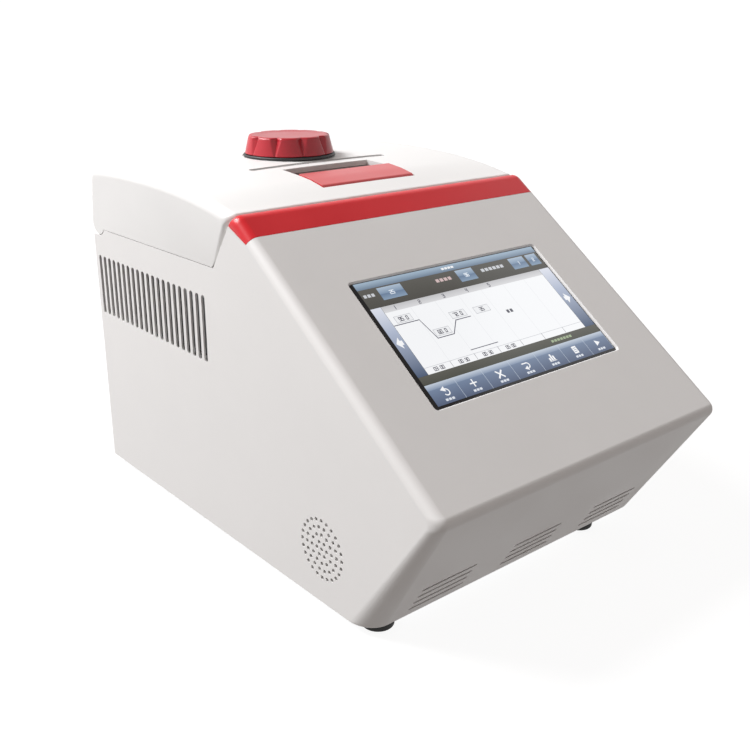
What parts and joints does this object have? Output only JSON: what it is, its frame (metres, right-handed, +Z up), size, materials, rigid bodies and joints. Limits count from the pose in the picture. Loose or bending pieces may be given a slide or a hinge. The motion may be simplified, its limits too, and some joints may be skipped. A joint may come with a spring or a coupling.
{
  "type": "thermal cycler",
  "caption": "Bench-top thermal cycler with a slanted touch screen, a hinged heated lid with a lobed knob and latch, and a multi-well sample block.",
  "frame": {"origin": "on the bench, under the middle of the case's width and depth", "axes": "+Z up, -Y towards the user (front, screen), +X to the right seen from the front"},
  "size_m": [0.25, 0.3728, 0.2574],
  "materials": {
    "white_case": "fine satin texture, warm light grey-white",
    "white_lid": "smooth satin white",
    "red_trim": "semi-gloss red",
    "red_knob": "satin red",
    "salmon_paddle": "semi-gloss light red",
    "grey_plastic": "satin grey",
    "black_plastic": "satin black",
    "screen_glass": "gloss touch panel, dark when off",
    "silver_block": "fine-milled, silver plated",
    "aluminium": "milled",
    "steel": "satin",
    "zinc_sheet": "zinc-plated sheet",
    "circuit_board": "green solder mask",
    "silicone": "soft grey silicone",
    "rubber": "matt black rubber",
    "ceramic": "white ceramic faces"
  },
  "bodies": {
    "base": {"body_shell": "white_case", "red_band": "red_trim", "base_plate": "zinc_sheet", "foot_front_left": "rubber", "foot_front_right": "rubber", "foot_rear_left": "rubber", "foot_rear_right": "rubber", "rear_panel": "zinc_sheet", "deck_panel": "grey_plastic", "strike_plate": "steel", "screen_bezel": "black_plastic", "touch_glass": "screen_glass", "lcd_module": "zinc_sheet", "display_board": "circuit_board", "sample_block": "silver_block", "block_frame": "black_plastic", "block_seal": "silicone", "peltier_module_1": "ceramic", "peltier_module_2": "ceramic", "peltier_module_3": "ceramic", "peltier_module_4": "ceramic", "heat_sink": "aluminium", "fan_shroud": "zinc_sheet", "fan_frame_left": "black_plastic", "fan_frame_right": "black_plastic", "power_supply": "zinc_sheet", "main_board": "circuit_board", "speaker": "black_plastic", "mains_inlet": "black_plastic", "switch_housing": "black_plastic", "usb_socket": "steel", "hinge_leaf_case_left": "steel", "hinge_leaf_case_right": "steel", "hinge_pin_left": "steel", "hinge_pin_right": "steel"},
    "lid": {"lid_cover": "white_lid", "lid_liner": "grey_plastic", "hinge_leaf_lid_left": "steel", "hinge_leaf_lid_right": "steel", "knob_seat_ring": "black_plastic", "screw_bush": "steel", "guide_post_left": "steel", "guide_post_right": "steel", "guide_spring_left": "steel", "guide_spring_right": "steel", "latch_pin": "steel", "latch_housing": "grey_plastic", "hook_pin": "steel"},
    "knob": {"knob": "red_knob", "lid_screw": "steel"},
    "hot_lid": {"plate_carrier": "aluminium", "heater_blanket": "silicone", "heated_plate": "aluminium"},
    "latch": {"latch_paddle": "salmon_paddle"},
    "hook": {"latch_hook": "steel"},
    "rocker": {"power_rocker": "black_plastic"},
    "fan_left": {"fan_rotor_left": "black_plastic"},
    "fan_right": {"fan_rotor_right": "black_plastic"}
  },
  "joints": [
    {"name": "lid_hinge", "type": "hinge", "parent": "base", "child": "lid", "pos_m": [0, 0.1766, 0.1969], "axis": [-1, 0, 0], "range_deg": [0, 80]},
    {"name": "knob_turn", "type": "hinge", "parent": "lid", "child": "knob", "pos_m": [0, 0.107, 0.25], "axis": [0, 0, -1], "range_deg": [0, 360]},
    {"name": "hot_lid_slide", "type": "slide", "parent": "lid", "child": "hot_lid", "axis": [0, 0, -1], "range_m": [0, 0.00503], "deforming": ["guide_spring_left", "guide_spring_right"]},
    {"name": "latch_pull", "type": "hinge", "parent": "lid", "child": "latch", "pos_m": [0, 0.0165, 0.2317], "axis": [1, 0, 0], "range_deg": [0, 25], "stiffness_Nm_per_rad": 0.02, "springref_deg": -11.46},
    {"name": "hook_turn", "type": "hinge", "parent": "lid", "child": "hook", "pos_m": [0, 0.028, 0.2005], "axis": [-1, 0, 0], "range_deg": [0, 10]},
    {"name": "power_rocker_tilt", "type": "hinge", "parent": "base", "child": "rocker", "pos_m": [-0.04, 0.1794, 0.036], "axis": [-1, 0, 0], "range_deg": [0, 16]},
    {"name": "fan_left_spin", "type": "hinge", "parent": "base", "child": "fan_left", "pos_m": [-0.0415, 0.17, 0.112], "axis": [0, 1, 0], "continuous": true},
    {"name": "fan_right_spin", "type": "hinge", "parent": "base", "child": "fan_right", "pos_m": [0.0415, 0.17, 0.112], "axis": [0, 1, 0], "continuous": true}
  ],
  "couplings": [
    {"joint": "knob_turn", "follows": "hot_lid_slide", "rad_per_m": 1250},
    {"joint": "hook_turn", "follows": "latch_pull", "ratio": 0.4}
  ]
}
